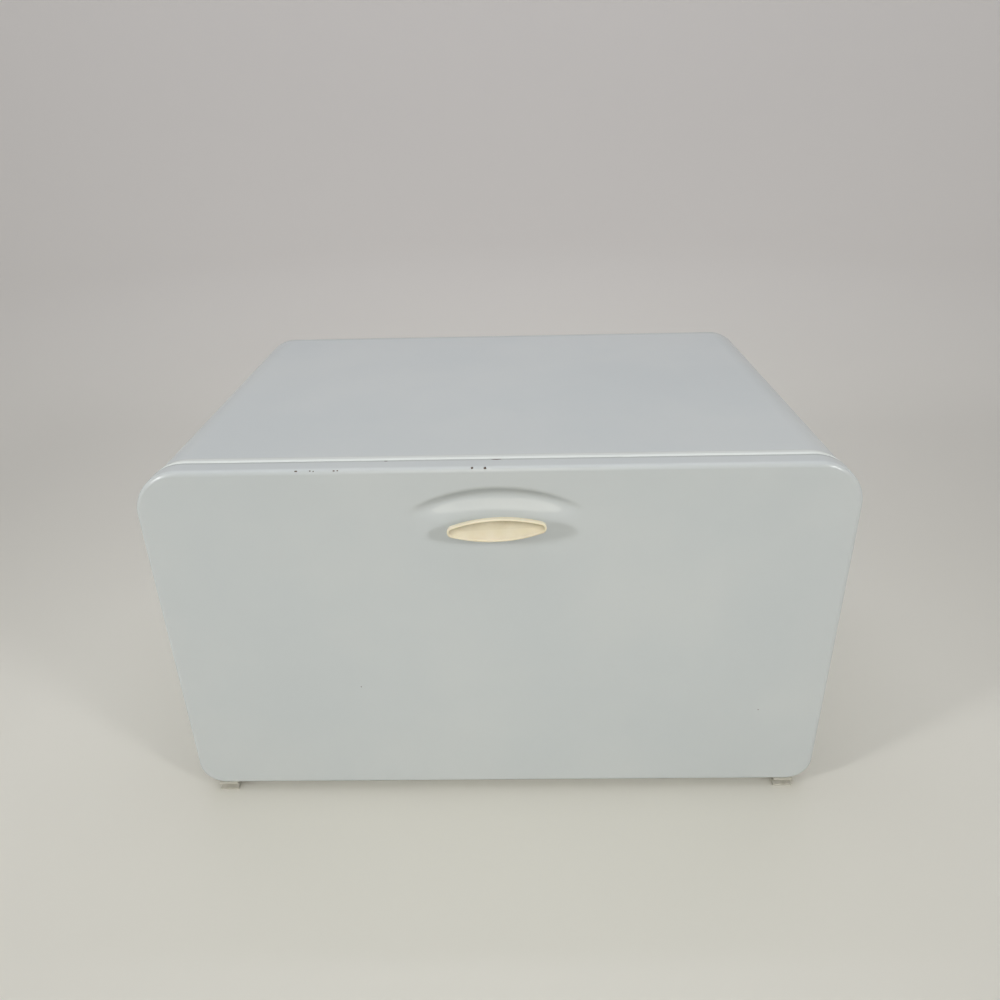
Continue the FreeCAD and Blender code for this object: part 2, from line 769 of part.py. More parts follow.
# The whole box -------------------------------------------------------------------------------------


def make_nodes():
    """Every piece of the box by its node's name."""
    patch, space = recess_patch()
    nodes = {
        "case_shell": make_case_shell(),
        "rim_wire": make_rim_wire(),
        "case_back": make_case_back(),
        "foot_screws": make_foot_screws(),
        "foot_nuts": make_foot_nuts(),
        "drawer_front": make_drawer_front(patch, space),
        "inner_panel": make_inner_panel(),
        "pull": make_pull(patch),
        "pull_washers": make_pull_washers(),
        "pull_screws": make_pull_screws(),
        "glide_rivets": make_glide_rivets(),
        "tub": make_tub(),
        "tub_back": make_tub_back(),
        "front_rivets": make_front_rivets(),
        "back_rivets": make_back_rivets(),
        "slide_rivets": make_slide_rivets(),
    }
    pairs = {
        "runner": make_runner(),
        "slide": make_slide(),
        "stop": make_stop(),
        "catch": make_catch(),
        "buffer": make_buffer(),
        "glide": make_glide(),
    }
    for name, right in pairs.items():
        nodes[f"{name}_right"] = right
        nodes[f"{name}_left"] = mirrored(right)
    for name, place in foot_places().items():
        nodes[name] = make_foot(place)
    return nodes


os.makedirs("parts", exist_ok=True)
for node, shape in make_nodes().items():
    print(f"{node}: {len(shape.Solids)} solid(s), valid {shape.isValid()}, {shape.Volume:.0f} mm3")
    shape.exportStep(os.path.join("parts", f"{node}.step"))
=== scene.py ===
"""The look of a bread box with a full-height drawer: stoved enamel, plated steel, urea and rubber."""

import logging
import math
import random
from dataclasses import dataclass, field
from enum import Enum
from typing import Iterable, Sequence

import bmesh
import bpy
from mathutils import Matrix, Vector, noise


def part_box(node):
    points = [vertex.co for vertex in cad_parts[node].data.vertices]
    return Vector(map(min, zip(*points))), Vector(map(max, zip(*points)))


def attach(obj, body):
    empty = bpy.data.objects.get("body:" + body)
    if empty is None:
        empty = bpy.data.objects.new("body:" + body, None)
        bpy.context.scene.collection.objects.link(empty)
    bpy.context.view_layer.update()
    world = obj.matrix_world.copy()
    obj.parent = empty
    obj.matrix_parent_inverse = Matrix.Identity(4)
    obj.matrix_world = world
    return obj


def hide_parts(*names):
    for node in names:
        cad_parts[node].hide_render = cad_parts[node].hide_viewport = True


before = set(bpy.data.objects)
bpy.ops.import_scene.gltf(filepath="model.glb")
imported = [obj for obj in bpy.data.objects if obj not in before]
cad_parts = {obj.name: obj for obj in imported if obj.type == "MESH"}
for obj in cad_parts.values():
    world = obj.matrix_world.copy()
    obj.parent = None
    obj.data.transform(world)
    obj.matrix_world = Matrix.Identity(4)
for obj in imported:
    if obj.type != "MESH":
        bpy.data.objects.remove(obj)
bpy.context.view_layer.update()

log = logging.getLogger("bread_box")

MM = 0.001
QUARTER = math.pi / 2
# Two places that are nearer than this are the same.
TOUCH = 1e-4 * MM
# Two values: a range, a size or a point in section.
Flat = tuple[float, float]
# A point of an outline, as x and z, and its outward normal, as x and z.
Station = tuple[float, float, float, float]
# A material that is being made: its node tree, its shader and the socket with the place on the piece.
Coat = tuple[bpy.types.NodeTree, bpy.types.Node, bpy.types.NodeSocket]


class Body(Enum):
    """The two bodies of the box."""

    CASE = "case"
    DRAWER = "drawer"


class Slot(Enum):
    """The material slots that the pieces carry."""

    OUTER_ENAMEL = "outer_enamel"
    INNER_ENAMEL = "inner_enamel"
    PLATED_STEEL = "plated_steel"
    IVORY_PLASTIC = "ivory_plastic"
    PALE_RUBBER = "pale_rubber"


class Side(Enum):
    """The left and right of the box, as the sign of X."""

    LEFT = -1
    RIGHT = 1

    @property
    def label(self) -> str:
        """The side's name as node names spell it."""
        return self.name.lower()


# --- Materials ---


def linear(hex_colour: str) -> tuple[float, float, float, float]:
    """Turns an sRGB hex colour into a linear one.

    Args:
        hex_colour: six hex digits after a hash.

    Returns:
        Red, green, blue and an alpha of one.
    """
    values = [int(hex_colour[i : i + 2], 16) / 255 for i in (1, 3, 5)]
    red, green, blue = [v / 12.92 if v <= 0.04045 else ((v + 0.055) / 1.055) ** 2.4 for v in values]
    return red, green, blue, 1.0


def add_node(
    tree: bpy.types.NodeTree, kind: str, inputs: dict[str | int, object] | None = None, **settings: object
) -> bpy.types.Node:
    """Adds a node with its settings and links.

    Args:
        tree: the node tree that gets the node.
        kind: the node's type, without its "ShaderNode" prefix.
        inputs: the output socket that feeds each input, or its plain value, by its name or number.
        settings: values of the node's properties, or of its inputs that have one word for a name.

    Returns:
        The new node.
    """
    node = tree.nodes.new("ShaderNode" + kind)
    for name, value in settings.items():
        if hasattr(node, name):
            setattr(node, name, value)
        else:
            node.inputs[name].default_value = value
    for name, value in (inputs or {}).items():
        if isinstance(value, bpy.types.NodeSocket):
            tree.links.new(value, node.inputs[name])
        else:
            node.inputs[name].default_value = value
    return node


@dataclass(frozen=True)
class Finish:
    """What every finish shares: a name, a colour and the shader's plain settings."""

    name: str
    colour: str
    roughness: float
    metallic: float = 0.0
    ior: float = 1.5

    def material(self) -> bpy.types.Material:
        """Builds the material once.

        Returns:
            The material, the same one from then on.
        """
        made = bpy.data.materials.get(self.name)
        if made is None:
            made = bpy.data.materials.new(self.name)
            made.use_nodes = True
            tree = made.node_tree
            shader = tree.nodes["Principled BSDF"]
            shader.inputs["Base Color"].default_value = linear(self.colour)
            shader.inputs["Roughness"].default_value = self.roughness
            shader.inputs["Metallic"].default_value = self.metallic
            shader.inputs["IOR"].default_value = self.ior
            self.detail((tree, shader, add_node(tree, "TexCoord").outputs["Object"]))
        return made

    def detail(self, coat: Coat) -> None:
        """Adds what sets this finish apart.

        Args:
            coat: the material so far.
        """


@dataclass(frozen=True)
class StovedEnamel(Finish):
    """Stoving enamel sprayed on sheet steel: glossy, with a faint orange peel and slightly cloudy colour."""

    cloud_colour: str = "#FFFFFF"
    cloud_size: float = 90 * MM
    cloud_range: Flat = (0.3, 0.7)
    peel_size: float = 1.6 * MM
    peel_depth: float = 0.012 * MM
    smudge: float = 0.10
    smudge_crowding: float = 1.4
    smudge_range: Flat = (0.2, 0.8)
    scratches: float = 0.0
    # Real scratches are under 0.3 mm wide, which is too fine to show, so they are drawn wider.
    scratch_width: float = 1.2 * MM
    scratch_length: float = 60 * MM
    scratch_range: Flat = (0.62, 0.7)
    # Painted highlight: the curl of the case's front edge is painted paler, partly as enamel rubbed by
    # cloths, partly as the curl's highlight and as light over the shade of the step behind it.
    rubbed_colour: str = "#E3E8E6"
    rub_attribute: str = "rub"

    def detail(self, coat: Coat) -> None:
        """Clouds the colour, paints it paler where rub and highlight are marked, smudges the gloss, lays the
        orange peel and scratches it.

        Args:
            coat: the material so far.
        """
        tree, shader, place = coat
        cloud = add_node(tree, "TexNoise", {"Vector": place}, Scale=1 / self.cloud_size, Detail=3.0)
        low, high = self.cloud_range
        span = {"Value": cloud.outputs["Fac"], "From Min": low, "From Max": high}
        tone = add_node(tree, "MapRange", span, interpolation_type="SMOOTHSTEP")
        tones = {0: tone.outputs["Result"], 6: linear(self.colour), 7: linear(self.cloud_colour)}
        mix = add_node(tree, "Mix", tones, data_type="RGBA")
        # Painted highlight: paler colour where the mesh marks rub and highlight.
        rub = add_node(tree, "Attribute", attribute_name=self.rub_attribute)
        tones = {0: rub.outputs["Fac"], 6: mix.outputs[2], 7: linear(self.rubbed_colour)}
        paler = add_node(tree, "Mix", tones, data_type="RGBA")
        tree.links.new(paler.outputs[2], shader.inputs["Base Color"])
        crowded = self.smudge_crowding / self.cloud_size
        wiped = add_node(tree, "TexNoise", {"Vector": place}, Scale=crowded, Detail=4.0)
        low, high = self.smudge_range
        span = {"Value": wiped.outputs["Fac"], "From Min": low, "From Max": high}
        span |= {"To Min": self.roughness, "To Max": self.roughness + self.smudge}
        gloss = add_node(tree, "MapRange", span, interpolation_type="SMOOTHSTEP")
        tree.links.new(gloss.outputs["Result"], shader.inputs["Roughness"])
        peel = add_node(tree, "TexNoise", {"Vector": place}, Scale=1 / self.peel_size, Detail=1.0)
        bump = add_node(tree, "Bump", {"Height": peel.outputs["Fac"]}, Distance=self.peel_depth)
        if self.scratches > 0:
            across, along = 1 / self.scratch_width, 1 / self.scratch_length
            drawn = add_node(tree, "Mapping", {"Vector": place}, Scale=(across, along, across))
            lines = add_node(tree, "TexNoise", {"Vector": drawn.outputs["Vector"]}, Scale=1.0, Detail=3.0)
            low, high = self.scratch_range
            span = {"Value": lines.outputs["Fac"], "From Min": low, "From Max": high}
            scores = add_node(tree, "MapRange", span)
            both = {"Height": scores.outputs["Result"], "Normal": bump.outputs["Normal"]}
            bump = add_node(tree, "Bump", both, Distance=-self.scratches)
        tree.links.new(bump.outputs["Normal"], shader.inputs["Normal"])


@dataclass(frozen=True)
class RustedChip(Finish):
    """Bare sheet where the enamel has flaked off: dull brown-black rust."""

    light_colour: str = "#6B5444"
    grain: float = 0.5 * MM
    grain_depth: float = 0.08 * MM

    def detail(self, coat: Coat) -> None:
        """Speckles the rust and roughens it.

        Args:
            coat: the material so far.
        """
        tree, shader, place = coat
        grains = add_node(tree, "TexNoise", {"Vector": place}, Scale=1 / self.grain, Detail=4.0)
        tones = {0: grains.outputs["Fac"], 6: linear(self.colour), 7: linear(self.light_colour)}
        mix = add_node(tree, "Mix", tones, data_type="RGBA")
        tree.links.new(mix.outputs[2], shader.inputs["Base Color"])
        bump = add_node(tree, "Bump", {"Height": grains.outputs["Fac"]}, Distance=self.grain_depth)
        tree.links.new(bump.outputs["Normal"], shader.inputs["Normal"])


@dataclass(frozen=True)
class RolledSteel(Finish):
    """Cold-rolled strip with a thin zinc coat: grey metal with fine lines along the way it was rolled."""

    dull_colour: str = "#7E7F80"
    # Real rolling lines lie about 0.1 mm apart, which is too fine to show, so they are drawn wider.
    line_width: float = 0.5 * MM
    line_length: float = 45 * MM
    line_depth: float = 0.015 * MM
    line_range: Flat = (0.3, 0.7)
    line_dulling: float = 0.2
    patch_size: float = 14 * MM
    patch_range: Flat = (0.35, 0.7)

    def detail(self, coat: Coat) -> None:
        """Draws the rolling lines and the dull patches.

        Args:
            coat: the material so far.
        """
        tree, shader, place = coat
        across, along = 1 / self.line_width, 1 / self.line_length
        drawn = add_node(tree, "Mapping", {"Vector": place}, Scale=(across, along, across))
        lines = add_node(tree, "TexNoise", {"Vector": drawn.outputs["Vector"]}, Scale=1.0, Detail=2.0)
        patch = add_node(tree, "TexNoise", {"Vector": place}, Scale=1 / self.patch_size, Detail=4.0)
        low, high = self.patch_range
        span = {"Value": patch.outputs["Fac"], "From Min": low, "From Max": high}
        dull = add_node(tree, "MapRange", span)
        tones = {0: dull.outputs["Result"], 6: linear(self.colour), 7: linear(self.dull_colour)}
        mix = add_node(tree, "Mix", tones, data_type="RGBA")
        tree.links.new(mix.outputs[2], shader.inputs["Base Color"])
        low, high = self.line_range
        span = {"Value": lines.outputs["Fac"], "From Min": low, "From Max": high}
        span |= {"To Min": self.roughness, "To Max": self.roughness + self.line_dulling}
        rough = add_node(tree, "MapRange", span)
        tree.links.new(rough.outputs["Result"], shader.inputs["Roughness"])
        bump = add_node(tree, "Bump", {"Height": lines.outputs["Fac"]}, Distance=self.line_depth)
        tree.links.new(bump.outputs["Normal"], shader.inputs["Normal"])


@dataclass(frozen=True)
class MouldedUrea(Finish):
    """Urea moulding powder pressed in a hot die: hard, glossy and cloudy, darkened where grime and painted
    shade are marked.
    """

    aged_colour: str = "#EFE3C3"
    # Dark olive for grime and for painted shade: the shade in the dish under the upper rim is painted with
    # it.
    grime_colour: str = "#86784F"
    cloud_size: float = 9 * MM
    peel_size: float = 0.8 * MM
    peel_depth: float = 0.006 * MM
    glow: float = 0.12
    glow_reach: tuple[float, float, float] = (2.0 * MM, 1.4 * MM, 0.8 * MM)
    grime_attribute: str = "grime"

    def detail(self, coat: Coat) -> None:
        """Clouds the ivory and darkens it where grime and painted shade are marked.

        Args:
            coat: the material so far.
        """
        tree, shader, place = coat
        cloud = add_node(tree, "TexNoise", {"Vector": place}, Scale=1 / self.cloud_size, Detail=4.0)
        tones = {0: cloud.outputs["Fac"], 6: linear(self.colour), 7: linear(self.aged_colour)}
        aged = add_node(tree, "Mix", tones, data_type="RGBA")
        # Painted shade: the marked mix of grime and shade, times the cloud, darkens the ivory.
        grime = add_node(tree, "Attribute", attribute_name=self.grime_attribute)
        both = {0: grime.outputs["Fac"], 1: cloud.outputs["Fac"]}
        dirt_and_shade = add_node(tree, "Math", both, operation="MULTIPLY")
        tones = {0: dirt_and_shade.outputs["Value"], 6: aged.outputs[2], 7: linear(self.grime_colour)}
        mix = add_node(tree, "Mix", tones, data_type="RGBA")
        tree.links.new(mix.outputs[2], shader.inputs["Base Color"])
        peel = add_node(tree, "TexNoise", {"Vector": place}, Scale=1 / self.peel_size, Detail=1.0)
        bump = add_node(tree, "Bump", {"Height": peel.outputs["Fac"]}, Distance=self.peel_depth)
        tree.links.new(bump.outputs["Normal"], shader.inputs["Normal"])
        shader.inputs["Subsurface Weight"].default_value = self.glow
        shader.inputs["Subsurface Radius"].default_value = self.glow_reach
        shader.inputs["Subsurface Scale"].default_value = 1.0


@dataclass(frozen=True)
class MouldedRubber(Finish):
    """Pale moulded rubber, aged matt and dusty."""

    dusty_colour: str = "#8F8C84"
    dust_size: float = 6 * MM
    # The grain of a real die is about 0.2 mm, which is too fine to show, so it is drawn coarser.
    grain: float = 0.7 * MM
    grain_depth: float = 0.05 * MM

    def detail(self, coat: Coat) -> None:
        """Dusts the rubber and gives it the die's fine grain.

        Args:
            coat: the material so far.
        """
        tree, shader, place = coat
        dust = add_node(tree, "TexNoise", {"Vector": place}, Scale=1 / self.dust_size, Detail=5.0)
        tones = {0: dust.outputs["Fac"], 6: linear(self.colour), 7: linear(self.dusty_colour)}
        mix = add_node(tree, "Mix", tones, data_type="RGBA")
        tree.links.new(mix.outputs[2], shader.inputs["Base Color"])
        grain = add_node(tree, "TexNoise", {"Vector": place}, Scale=1 / self.grain, Detail=2.0)
        bump = add_node(tree, "Bump", {"Height": grain.outputs["Fac"]}, Distance=self.grain_depth)
        tree.links.new(bump.outputs["Normal"], shader.inputs["Normal"])


# Sprayed and stoved enamel, pale blue-grey: wet gloss that softens where it has been wiped for years.
OUTER_ENAMEL = StovedEnamel(
    "stoved_enamel_pale_blue_grey", "#CDD2D3", roughness=0.21, smudge=0.05, cloud_colour="#C9CFD1"
)
# The same enamel inside, thinner and off-white, dulled by loaves and crumbs.
INNER_ENAMEL = StovedEnamel(
    "stoved_enamel_off_white",
    "#D9DAD4",
    roughness=0.34,
    cloud_colour="#CFCEC4",
    scratches=0.03 * MM,
)
# The same enamel under the drawer's glides: scuffed matt and warmer by the table.
SCUFFED_ENAMEL = StovedEnamel(
    "stoved_enamel_scuffed_matt", "#D2D0C6", roughness=0.45, cloud_colour="#C2BFB4", cloud_size=6 * MM
)
# Rust under flaked enamel: nearly black at this size, with brown specks.
RUST = RustedChip("rusted_sheet_under_flaked_enamel", "#2E2925", roughness=0.85)
# Zinc-coated rolled strip for runners and angles: soft grey metal with lines along the box.
ROLLED_STRIP = RolledSteel("zinc_coated_rolled_strip", "#A9ABAD", roughness=0.32, metallic=1.0)
# Bright zinc plating on rivets, screws and nuts: lighter and shinier than the strip.
BRIGHT_ZINC = RolledSteel(
    "bright_zinc_plated_turned_steel",
    "#C4C5C6",
    roughness=0.29,
    metallic=1.0,
    dull_colour="#9FA0A0",
    line_width=0.25 * MM,
    line_length=1.0 * MM,
    patch_size=3 * MM,
)
# Ivory urea moulding: glossy cream that has yellowed.
IVORY_UREA = MouldedUrea("moulded_ivory_urea", "#F5EDD9", roughness=0.22, ior=1.55)
# Pale moulded rubber feet and buffers: matt, slightly dusty.
PALE_RUBBER = MouldedRubber("moulded_pale_rubber", "#BDB9AE", roughness=0.8, ior=1.52)
# Board painted matt under the box: pale and warm, with no gloss to draw the eye.
PAINTED_BOARD = Finish("matt_painted_board", "#E4E2D9", roughness=0.6)


# --- Laying out meshes ---


class Draft:
    """The points and faces of one piece while it is laid out, in metres."""

    def __init__(self) -> None:
        """Starts with nothing."""
        self.points: list[Vector] = []
        self.faces: list[tuple[int, ...]] = []

    def row(self, points: Iterable[Sequence[float]]) -> list[int]:
        """Adds a row of points.

        Args:
            points: the points, in metres.

        Returns:
            Their numbers in the draft.
        """
        start = len(self.points)
        self.points.extend(Vector(point) for point in points)
        return list(range(start, len(self.points)))

    def bridge(self, first: Sequence[int], second: Sequence[int], closed: bool = False) -> None:
        """Joins two rows with four-sided faces.

        Args:
            first: one row.
            second: another row with as many points.
            closed: whether the rows run round and meet themselves.
        """
        count = len(first)
        for i in range(count if closed else count - 1):
            j = (i + 1) % count
            self.faces.append((first[i], first[j], second[j], second[i]))

    def bridge_all(self, rows: Sequence[Sequence[int]], closed: bool = False, capped: bool = False) -> None:
        """Joins each row to the next.

        Args:
            rows: the rows in order.
            closed: whether each row meets itself.
            capped: whether the first and the last row are filled with a face.
        """
        for first, second in zip(rows, rows[1:]):
            self.bridge(first, second, closed)
        if capped:
            self.faces += [tuple(rows[0]), tuple(rows[-1])]

    def turned(self, profile: Sequence[Flat], start: Vector, axis: Vector, segments: int) -> None:
        """Adds a turned piece.

        Args:
            profile: distance along the axis and radius, from one end to the other.
            start: where the axis starts.
            axis: the way that it points.
            segments: how many faces go round it.
        """
        turn = axis.to_track_quat("Z", "Y").to_matrix()
        angles = [2 * math.pi * i / segments for i in range(segments)]
        rows = []
        for along, radius in profile:
            ring = [(radius * math.cos(angle), radius * math.sin(angle), along) for angle in angles]
            rows.append(self.row(start + turn @ Vector(point) for point in ring))
        self.bridge_all(rows, closed=True, capped=True)


@dataclass
class Piece:
    """One visible piece: a mesh with its finish, the body it rides on and the nodes it stands for."""

    name: str
    draft: Draft
    body: Body
    slot: Slot
    finish: Finish
    replaces: Sequence[str] = ()
    thickness: float = 0.0
    weld: float = 0.002 * MM

    def build(self) -> bpy.types.Object:
        """Makes the object from the draft.

        Returns:
            The object, dressed and riding on its body.
        """
        mesh = bpy.data.meshes.new(self.name)
        mesh.from_pydata(self.draft.points, [], self.draft.faces)
        shape = bmesh.new()
        shape.from_mesh(mesh)
        bmesh.ops.remove_doubles(shape, verts=shape.verts, dist=self.weld)
        bmesh.ops.recalc_face_normals(shape, faces=shape.faces)
        shape.to_mesh(mesh)
        shape.free()
        mesh.shade_smooth()
        made = bpy.data.objects.new(self.name, mesh)
        bpy.context.scene.collection.objects.link(made)
        mesh.materials.append(self.finish.material())
        if self.thickness > 0:
            sheet = made.modifiers.new("sheet", "SOLIDIFY")
            sheet.thickness = self.thickness
            sheet.offset = -1.0
            sheet.use_even_offset = True
        self.soften(made)
        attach(made, self.body.value)
        if self.replaces:
            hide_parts(*self.replaces)
        log.info("%s: %d faces", self.name, len(mesh.polygons))
        return made

    @staticmethod
    def soften(made: bpy.types.Object, width: float = 0.0) -> None:
        """Breaks the sharp edges and evens the shading.

        Args:
            made: the object.
            width: how wide the broken edge is, or 0 for none.
        """
        if width > 0:
            bevel = made.modifiers.new("broken_edge", "BEVEL")
            bevel.width = width
            bevel.segments = 2
            bevel.limit_method = "ANGLE"
            bevel.angle_limit = math.radians(40)
            bevel.use_clamp_overlap = True
        even = made.modifiers.new("even_shading", "WEIGHTED_NORMAL")
        even.keep_sharp = True


@dataclass
class CarriedNodes:
    """Nodes whose shape is already right: they stay, with broken edges, even shading and a finish."""

    names: Sequence[str]
    finish: Finish
    edge: float
    weld: float = 0.001 * MM

    def dress(self) -> None:
        """Gives each node its finish."""
        for name in self.names:
            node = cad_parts[name]
            node.data.materials.clear()
            node.data.materials.append(self.finish.material())
            weld = node.modifiers.new("weld", "WELD")
            weld.merge_threshold = self.weld
            Piece.soften(node, self.edge)
            node.data.shade_smooth()
            log.info("%s: carried over", name)


def spaced(low: float, high: float, step: float) -> list[float]:
    """Evenly spaced values from low to high, both included, at most step apart."""
    count = max(1, math.ceil((high - low) / step - 1e-9))
    return [low + (high - low) * i / count for i in range(count + 1)]


def rounded(radius: float, step: float) -> list[Flat]:
    """How far points of a rounded edge lie behind the one face and, last to first, behind the other."""
    turns = spaced(0, QUARTER, step)
    return [(radius * (1 - math.cos(turn)), radius * (1 - math.sin(turn))) for turn in turns]


def sheet_sides(line: Sequence[Flat], thickness: float) -> tuple[list[Flat], list[Flat]]:
    """The two faces of a sheet whose middle follows a line.

    Args:
        line: the middle of the sheet in section.
        thickness: how thick the sheet is.

    Returns:
        The points of the left and of the right face.
    """
    points = [Vector(point) for point in line]
    left, right = [], []
    for i, point in enumerate(points):
        before = points[max(i - 1, 0)]
        after = points[min(i + 1, len(points) - 1)]
        along = (after - before).normalized()
        normal = Vector((-along.y, along.x)) * thickness / 2
        left.append(tuple(point + normal))
        right.append(tuple(point - normal))
    return left, right


# --- The shared outline and the drawer's front ---


@dataclass(frozen=True)
class Outline:
    """A rectangle with two large round corners above and two small ones below, seen from the front."""

    half_width: float
    low: float
    high: float
    top_radius: float
    bottom_radius: float
    grid_turn: float = math.radians(6)
    station_turn: float = math.radians(5)

    def normal_at(self, x: float, z: float) -> Flat:
        """The outward normal at a point on the outline or on a line parallel to it.

        Args:
            x: the point's place across.
            z: its height.

        Returns:
            The normal's two values.
        """
        upper = z > (self.low + self.high) / 2
        radius = self.top_radius if upper else self.bottom_radius
        centre_x = math.copysign(self.half_width - radius, x)
        centre_z = self.high - radius if upper else self.low + radius
        past_x = abs(x) - abs(centre_x)
        past_z = z - centre_z if upper else centre_z - z
        if min(past_x, past_z) > TOUCH:
            normal = Vector((x - centre_x, z - centre_z)).normalized()
            return normal.x, normal.y
        if past_z > past_x:
            return 0.0, math.copysign(1.0, z - centre_z)
        return math.copysign(1.0, x), 0.0

    def half_width_at(self, z: float, inset: float) -> float:
        """Half the width at a height, on the line that lies inset inside the outline.

        Args:
            z: the height.
            inset: how far inside the line lies.

        Returns:
            Half the width.
        """
        above, below = z - self.high + self.top_radius, self.low + self.bottom_radius - z
        for radius, past in ((self.top_radius, above), (self.bottom_radius, below)):
            if past > 0:
                return self.half_width - radius + math.sqrt(max(0.0, (radius - inset) ** 2 - past**2))
        return self.half_width - inset

    def heights(self, inset: float, step: float) -> list[float]:
        """Heights for a grid inside the outline, closer together where the corners turn.

        Args:
            inset: how far inside the outline the grid ends.
            step: the most that two heights lie apart between the corners.

        Returns:
            The heights from the lowest up.
        """
        found = []
        for i in range(math.ceil(QUARTER / self.grid_turn) + 1):
            share = math.sin(min(i * self.grid_turn, QUARTER))
            found.append(self.low + self.bottom_radius - (self.bottom_radius - inset) * share)
            found.append(self.high - self.top_radius + (self.top_radius - inset) * share)
        found += spaced(self.low + self.bottom_radius, self.high - self.top_radius, step)
        return sorted(found)

    def stations(self, step: float) -> list[Station]:
        """Points all round the outline, each with its outward normal.

        Args:
            step: the most that two points of a straight side lie apart.

        Returns:
            The points, from the lower right corner up and round.
        """
        top_z, bottom_z = self.high - self.top_radius, self.low + self.bottom_radius
        corners = (
            (1, self.bottom_radius, bottom_z, -90),
            (1, self.top_radius, top_z, 0),
            (-1, self.top_radius, top_z, 90),
            (-1, self.bottom_radius, bottom_z, 180),
        )
        arcs = []
        for across, radius, centre_z, start in corners:
            centre_x = across * (self.half_width - radius)
            arc = []
            for angle in spaced(math.radians(start), math.radians(start + 90), self.station_turn):
                nx, nz = math.cos(angle), math.sin(angle)
                arc.append((centre_x + radius * nx, centre_z + radius * nz, nx, nz))
            arcs.append(arc)
        around = []
        for arc, following in zip(arcs, arcs[1:] + arcs[:1]):
            around += arc
            (x, z, nx, nz), (end_x, end_z, _, _) = arc[-1], following[0]
            for share in spaced(0, 1, step / math.hypot(end_x - x, end_z - z))[1:-1]:
                around.append((x + (end_x - x) * share, z + (end_z - z) * share, nx, nz))
        return around


@dataclass(frozen=True)
class FingerRecess:
    """The recess pressed into the front, deepest near its upper edge."""

    top: float
    half_width: float = 50 * MM
    depth: float = 5.6 * MM
    height: float = 33 * MM
    top_drop: float = 13 * MM
    bottom_rise: float = 4 * MM
    skew: float = 2.7
    side_power: float = 4.0

    def depth_at(self, x: float, z: float) -> float:
        """How deep the recess is at a point of the front.

        Args:
            x: the point's place across the front.
            z: its height.

        Returns:
            The depth behind the face, 0 outside the recess.
        """
        across = x / self.half_width
        upper = self.top - self.top_drop * across**2
        lower = self.top - self.height + self.bottom_rise * across**2
        share = (z - lower) / (upper - lower)
        if abs(across) >= 1 or not 0 < share < 1:
            return 0.0
        side = (1 - abs(across) ** self.side_power) ** 2
        return self.depth * side * math.sin(math.pi * share**self.skew) ** 2


@dataclass(frozen=True)
class Chip:
    """A place where the enamel has flaked off.

    The way round the fold runs from the face, over the upper edge, to the rear.
    """

    x: float
    way: float
    length: float
    width: float


